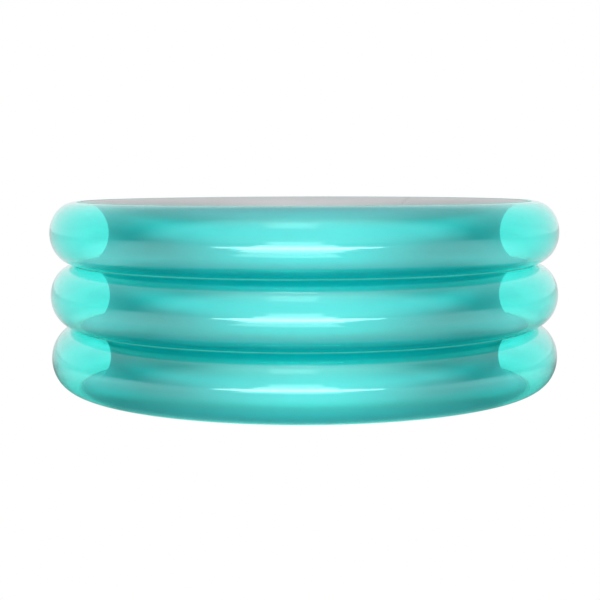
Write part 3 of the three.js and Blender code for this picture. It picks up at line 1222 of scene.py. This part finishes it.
@dataclass
class Bottom:
    """The floor sheet, and the drain near the back wall with its stopper.

    The floor lifts off the ground a little in broad patches, and in pleats towards its edge. Heights on
    the drain run up from the ground.
    """

    finishes: Finishes
    basin_radius: float = 587.6 * MM
    loose_insets: Span = (50.0 * MM, 5.0 * MM)
    broad_lift: float = 2.2 * MM
    broad_waves: float = 4.0
    broad_bias: float = 0.35
    broad_seed: float = 1.0
    pleat_lift: float = 4.0 * MM
    pleat_waves: float = 9.0
    pleat_seed: float = 4.0
    pleat_start: float = 350.0 * MM
    pleat_inset: float = 30.0 * MM
    hole: float = 11.0 * MM
    flat: float = 25.0 * MM
    reach: float = 60.0 * MM
    flange: float = 24.0 * MM
    flange_low: float = 0.6 * MM
    flange_high: float = 1.6 * MM
    groove_insets: tuple[float, ...] = (3.0 * MM, 6.0 * MM)
    groove_half: float = 0.5 * MM
    groove_depth: float = 0.3 * MM
    rim: float = 13.5 * MM
    rim_high: float = 5.0 * MM
    seat_rounding: float = 0.2 * MM
    stopper: Stopper = Stopper(
        shank_radius=10.7 * MM,
        shank_end=0.6 * MM,
        head_radius=15.5 * MM,
        head_low=5.3 * MM,
        head_high=7.3 * MM,
        tab_width=13.0 * MM,
        tab_thickness=2.4 * MM,
        tab_height=6.0 * MM,
        strap_start=15.8 * MM,
        strap_reach=7.0 * MM,
        strap_low=2.35 * MM,
        strap_high=6.3 * MM,
        strap_width=5.0 * MM,
        strap_thickness=0.9 * MM,
        rounding=0.35 * MM,
    )
    steps_out: int = 90
    steps_round: int = 300

    def __post_init__(self) -> None:
        """Takes the drain's place from the frame."""
        low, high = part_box("drain_seat")
        centre = (low + high) / 2
        self.drain = Matrix.Translation((centre.x, centre.y, 0)) @ Matrix.Rotation(math.pi / 2, 4, "Z")

    def rise(self, point: Vector) -> float:
        """How far the floor lifts off the ground at a point.

        Args:
            point: The point.

        Returns:
            The lift, which is zero round the drain and at the floor's edge, where it is pulled flat.
        """
        radius = math.hypot(point.x, point.y)
        spot = point.xy * self.broad_waves
        broad = noise.noise(Vector((spot.x, spot.y, self.broad_seed))) + self.broad_bias
        away = point.xy.normalized() * self.pleat_waves if radius else Vector((self.pleat_waves, 0))
        pleat = noise.noise(Vector((away.x, away.y, self.pleat_seed)))
        loose_from, loose_to = (self.basin_radius - inset for inset in self.loose_insets)
        loose = 1.0 - eased(radius, loose_from, loose_to)
        loose *= eased((point - self.drain.translation).length, self.flat, self.reach * 2)
        outer = eased(radius, self.pleat_start, self.basin_radius - self.pleat_inset)
        return loose * (max(broad, 0.0) * self.broad_lift + max(pleat, 0.0) * outer * self.pleat_lift)

    def make_floor(self) -> bpy.types.Object:
        """Makes the floor sheet, gently lifted in places, with the drain's hole.

        Returns:
            The floor's piece.
        """
        low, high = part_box("floor_sheet")
        edge = high.y
        points = [(edge * step / self.steps_out, 0.0) for step in range(self.steps_out + 1)]
        mesh = turned(points, self.steps_round, closed=False)
        if sum(f.normal.z for f in mesh.faces) < 0:
            bmesh.ops.reverse_faces(mesh, faces=mesh.faces)
        refined(mesh, self.drain.translation, self.reach, 2)
        for vertex in mesh.verts:
            vertex.co.z = self.rise(vertex.co)
        pierced(mesh, self.drain, self.flat, self.hole)
        piece = sheet_of(as_piece(mesh, "pool_floor"), high.z - low.z, offset=1.0)
        self.finishes.dress(piece, self.finishes.floor)
        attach(piece, "pool")
        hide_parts("floor_sheet")
        return piece

    def make_drain(self) -> list[bpy.types.Object]:
        """Makes the drain's seat, its stopper and the strap between them.

        Returns:
            The drain's pieces.
        """
        seat = [(self.hole, self.flange_low), (self.flange, self.flange_low)]
        seat.append((self.flange, self.flange_high))
        for inset in self.groove_insets:
            seat += groove(self.flange - inset, self.groove_half, self.flange_high, self.groove_depth)
        seat += [(self.rim, self.flange_high), (self.rim, self.rim_high), (self.hole, self.rim_high)]
        ring = ring_piece(seat, "drain_flange", self.drain, self.seat_rounding)
        plug = as_piece(self.stopper.body(), "drain_stopper_cap", self.drain)
        strap = as_piece(self.stopper.strap(), "drain_stopper_strap", self.drain)
        self.finishes.dress(ring, self.finishes.valve)
        self.finishes.dress(plug, self.finishes.plug)
        self.finishes.dress(strap, self.finishes.plug)
        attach(ring, "pool")
        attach(plug, "drain_stopper")
        start, end = self.stopper.strap_ends(self.drain)
        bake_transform(strap)
        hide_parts("drain_seat")
        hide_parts("drain_plug")
        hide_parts("drain_strap")
        return [ring, plug, strap]

    def make(self) -> list[bpy.types.Object]:
        """Makes the floor and the drain."""
        return [self.make_floor(), *self.make_drain()]


@dataclass(frozen=True)
class SoftBox:
    """A studio light: a glowing panel at a place, turned to face a point."""

    name: str
    place: Place
    aim: Place
    width: float
    height: float
    radiance: float
    onto: str = "outer_film_"

    def make(self, pieces: Sequence[bpy.types.Object]) -> None:
        """Makes the light, which the camera doesn't see.

        Args:
            pieces: The pool's pieces. Only those whose names start with the light's onto catch it.
        """
        data = bpy.data.lights.new(self.name, "AREA")
        data.shape, data.size, data.size_y = "RECTANGLE", self.width, self.height
        data.energy = self.radiance * math.pi * self.width * self.height
        light = bpy.data.objects.new(self.name, data)
        bpy.context.scene.collection.objects.link(light)
        light.location = self.place
        towards = Vector(self.aim) - Vector(self.place)
        light.rotation_euler = towards.to_track_quat("-Z", "Y").to_euler()
        light.visible_camera = False
        catching = bpy.data.collections.new(self.name + "_catches")
        for piece in pieces:
            if piece.name.startswith(self.onto):
                catching.objects.link(piece)
        light.light_linking.receiver_collection = catching


@dataclass(frozen=True)
class Grade:
    """Part of a soft grading: the glow that is gained while a measure goes from start to end."""

    start: float
    end: float
    gain: float

    def at(self, graph: Graph, measure: bpy.types.NodeSocket) -> bpy.types.NodeSocket:
        """The glow gained at a measure."""
        return graph.spread(measure, (self.start, self.end), (0.0, self.gain))


@dataclass
class Studio:
    """The plain studio: white surroundings, a pale floor, soft lights and the camera.

    The sky's grades go by how far a ray points back, how far it points up, and how near it points to the
    overhead way. The ground's painted light is graded by how far back a place lies, as a share of its
    distance from the centre. The ground also has a painted shade close in front of the pool, painted light
    that dims far away, and a painted tinted shadow of the clear rings under them.
    """

    sky_glow: float = 0.22
    sky_front: tuple[Grade, ...] = (Grade(-0.2, -0.5, 0.7), Grade(-0.6, -0.98, 0.64))
    sky_back: Grade = Grade(-0.15, 0.85, 0.7)
    sky_up: tuple[Grade, ...] = (Grade(0.35, 0.75, 0.35), Grade(0.75, 0.95, 0.6))
    sky_overhead: Grade = Grade(0.78, 0.95, 0.35)
    overhead_way: Place = (0.0, -0.34, 0.94)
    # Where vinyl mirrors the ground, its glow is painted light, and its shade close in front of the pool is
    # painted shadow.
    ground_painted_light: float = 0.52
    ground_front: tuple[Grade, ...] = (Grade(0.15, -0.33, 0.74), Grade(-0.5, -1.0, 0.14))
    ground_back: Grade = Grade(0.2, 0.9, 0.28)
    least_radius: float = 10 * MM
    shade_radii: Span = (0.76, 1.2)
    shade_turns: Span = (-1.0, -0.72)
    shade_light: Span = (1.0, 0.4)
    fade_radii: Span = (2.4, 6.0)
    fade_light: Span = (1.0, 0.82)
    # Where the floor's painted tinted shadow of the clear rings starts and ends, when mirrored and when seen
    # through film.
    mirrored_painted_shadow_radii: Span = (0.74, 0.9)
    seen_painted_shadow_radii: Span = (0.68, 0.8)
    floor_drop: float = 0.2 * MM
    floor_size: float = 60.0
    camera_place: Place = (0.0, -3.7485, 0.6278)
    camera_pitch: float = 5.7813
    camera_roll: float = -0.143
    camera_lens: float = 73.88
    camera_sensor: float = 36.0
    camera_shift: float = -0.00745
    camera_reach: float = 200.0
    # The colours of the painted tinted shadow that the clear rings cast on the floor, when mirrored and when
    # seen through film.
    mirrored_painted_shadow_tint: Colour = (0.3, 0.83, 0.77, 1.0)
    seen_painted_shadow_tint: Colour = (0.6, 0.95, 0.92, 1.0)
    lights_across: float = -0.14
    strip_distance: float = 2.36
    panel_level: float = 10 * MM
    panel_aim: float = 1.0
    box_place: Place = (-0.2, -2.2, 2.25)
    bar_place: Place = (-0.2, -1.42, 2.94)
    overhead_aim: Place = (-0.03, -0.72, 0.4)

    def strip(self, name: str, level: float, **sizes: float) -> SoftBox:
        """A light that stands in front of the pool, with its middle at level."""
        place, aim = (self.lights_across, -self.strip_distance, level), (self.lights_across, 0.0, level)
        return SoftBox(name, place, aim, **sizes)

    def panel(self, name: str, distance: float, **sizes: float) -> SoftBox:
        """A light that lies face up in front of the pool, with its middle at distance."""
        x, y = self.lights_across, -distance
        return SoftBox(name, (x, y, self.panel_level), (x, y, self.panel_aim), **sizes)

    def overhead(self, name: str, place: Place, **settings: float | str) -> SoftBox:
        """A light above and in front of the pool, turned to face its front."""
        return SoftBox(name, place, self.overhead_aim, **settings)

    def lights(self) -> list[SoftBox]:
        """The lights that make each ring's highlight: a tapering glow in front, and a soft one above."""
        bar = {"width": 0.85, "height": 0.035, "radiance": 9.0}
        return [
            self.strip("low_strip_thin", level=0.045, width=2.8, height=0.06, radiance=8.0),
            self.strip("low_strip_low", level=0.08, width=2.0, height=0.1, radiance=5.5),
            self.strip("low_strip_high", level=0.16, width=1.2, height=0.28, radiance=3.2),
            self.strip("low_strip_tall", level=0.29, width=0.8, height=0.56, radiance=1.4),
            self.panel("floor_panel_far", distance=2.15, width=1.6, height=0.38, radiance=4.0),
            self.panel("floor_panel_middle", distance=1.81, width=1.1, height=0.3, radiance=2.8),
            self.panel("floor_panel_near", distance=1.46, width=0.8, height=0.4, radiance=1.2),
            self.overhead("overhead_box", self.box_place, width=0.85, height=0.75, radiance=0.8),
            self.overhead("overhead_strip", self.bar_place, onto="outer_film_middle", **bar),
            self.overhead("overhead_strip_low", self.bar_place, onto="outer_film_bottom", **bar),
        ]

    def make_world(self) -> None:
        """Makes the surroundings: white to the camera, and softly graded where vinyl mirrors them."""
        world = bpy.data.worlds.new("studio")
        world.use_nodes = True
        graph = Graph(world.node_tree)
        towards = graph.add("ShaderNodeTexCoord").outputs["Generated"]
        parts = graph.add("ShaderNodeSeparateXYZ", {0: towards}).outputs
        overhead = graph.vector_maths("DOT_PRODUCT", towards, self.overhead_way, output="Value")
        glow = graph.total(
            self.sky_glow,
            *(grade.at(graph, parts["Y"]) for grade in (*self.sky_front, self.sky_back)),
            *(grade.at(graph, parts["Z"]) for grade in self.sky_up),
            self.sky_overhead.at(graph, overhead),
        )
        direct = graph.add("ShaderNodeLightPath").outputs["Is Camera Ray"]
        strength = graph.mix(direct, glow, WHITE)
        light = graph.add("ShaderNodeBackground", {"Color": strength, "Strength": 1.0})
        graph.add("ShaderNodeOutputWorld", {"Surface": light.outputs[0]})
        bpy.context.scene.world = world

    def make_floor(self) -> None:
        """Makes the floor: white, with a painted tinted shadow of the clear rings under them, and painted
        light and shade graded where vinyl mirrors it.
        """
        mesh = bmesh.new()
        bmesh.ops.create_grid(mesh, x_segments=4, y_segments=4, size=self.floor_size / 2)
        floor = as_piece(mesh, "studio_floor", Matrix.Translation((0, 0, -self.floor_drop)))
        material = bpy.data.materials.new("pale_floor")
        material.use_nodes = True
        graph = Graph(material.node_tree)
        place = graph.place()
        radius = graph.vector_maths("LENGTH", place, output="Value")
        back = graph.add("ShaderNodeSeparateXYZ", {0: place}).outputs["Y"]
        turn = graph.maths("DIVIDE", back, graph.maths("MAXIMUM", radius, self.least_radius))
        # Painted light where vinyl mirrors the floor, with a painted shade close in front of the pool and
        # dimming far away.
        grades = (*self.ground_front, self.ground_back)
        glow = graph.total(self.ground_painted_light, *(grade.at(graph, turn) for grade in grades))
        shade = graph.spread(turn, self.shade_turns, self.shade_light)
        near = graph.spread(radius, self.shade_radii, (shade, 1.0))
        far = graph.spread(radius, self.fade_radii, self.fade_light)
        lit = graph.maths("MULTIPLY", graph.maths("MULTIPLY", glow, near), far)
        # Painted tinted shadow of the clear rings under them, in what vinyl mirrors and in what is seen
        # through the film.
        clear_of_mirrored_painted_shadow = graph.spread(radius, self.mirrored_painted_shadow_radii, (0.0, 1.0))
        mirrored = graph.product(graph.mix(clear_of_mirrored_painted_shadow, self.mirrored_painted_shadow_tint, WHITE), lit)
        clear_of_seen_painted_shadow = graph.spread(radius, self.seen_painted_shadow_radii, (0.0, 1.0))
        under = graph.mix(clear_of_seen_painted_shadow, self.seen_painted_shadow_tint, WHITE)
        rays = graph.add("ShaderNodeLightPath").outputs
        seen = graph.mix(rays["Transparent Depth"], WHITE, under)
        shown = graph.mix(rays["Is Camera Ray"], mirrored, seen)
        light = graph.add("ShaderNodeEmission", {"Color": shown, "Strength": 1.0})
        graph.add("ShaderNodeOutputMaterial", {"Surface": light.outputs[0]})
        floor.data.materials.append(material)

    def make_camera(self) -> None:
        """Makes the camera at the photograph's place."""
        data = bpy.data.cameras.new("camera")
        data.lens, data.sensor_width, data.shift_x = self.camera_lens, self.camera_sensor, self.camera_shift
        data.clip_end = self.camera_reach
        camera = bpy.data.objects.new("camera", data)
        bpy.context.scene.collection.objects.link(camera)
        pitch = Matrix.Rotation(math.radians(90.0 - self.camera_pitch), 4, "X")
        roll = Matrix.Rotation(math.radians(self.camera_roll), 4, "Z")
        camera.matrix_world = Matrix.Translation(self.camera_place) @ pitch @ roll
        bpy.context.scene.camera = camera

    def make(self) -> None:
        """Makes the studio, and lets light through every layer of film."""
        self.make_world()
        self.make_floor()
        self.make_camera()
        scene = bpy.context.scene
        scene.view_settings.view_transform = "Standard"
        scene.view_settings.look = "None"
        scene.cycles.max_bounces = 16
        scene.cycles.glossy_bounces = 10
        scene.cycles.diffuse_bounces = 3
        scene.cycles.transmission_bounces = 8
        scene.cycles.transparent_max_bounces = 64
        scene.cycles.caustics_reflective = True
        scene.cycles.use_denoising = True


def main() -> None:
    """Builds the studio and the pool."""
    logging.basicConfig(level=logging.INFO, format="%(name)s: %(message)s")
    studio = Studio()
    studio.make()
    finishes = Finishes()
    rings = Rings(finishes)
    valve = AirValve(finishes, rings)
    seats = [valve.seat(index) for index in range(len(rings.names))]
    pieces = rings.make(seats, valve.film_hole)
    for index in range(len(rings.names)):
        pieces += valve.make(index)
    pieces += Bottom(finishes).make()
    for light in studio.lights():
        light.make(pieces)
    bpy.context.view_layer.update()


if __name__ == "__main__":
    main()
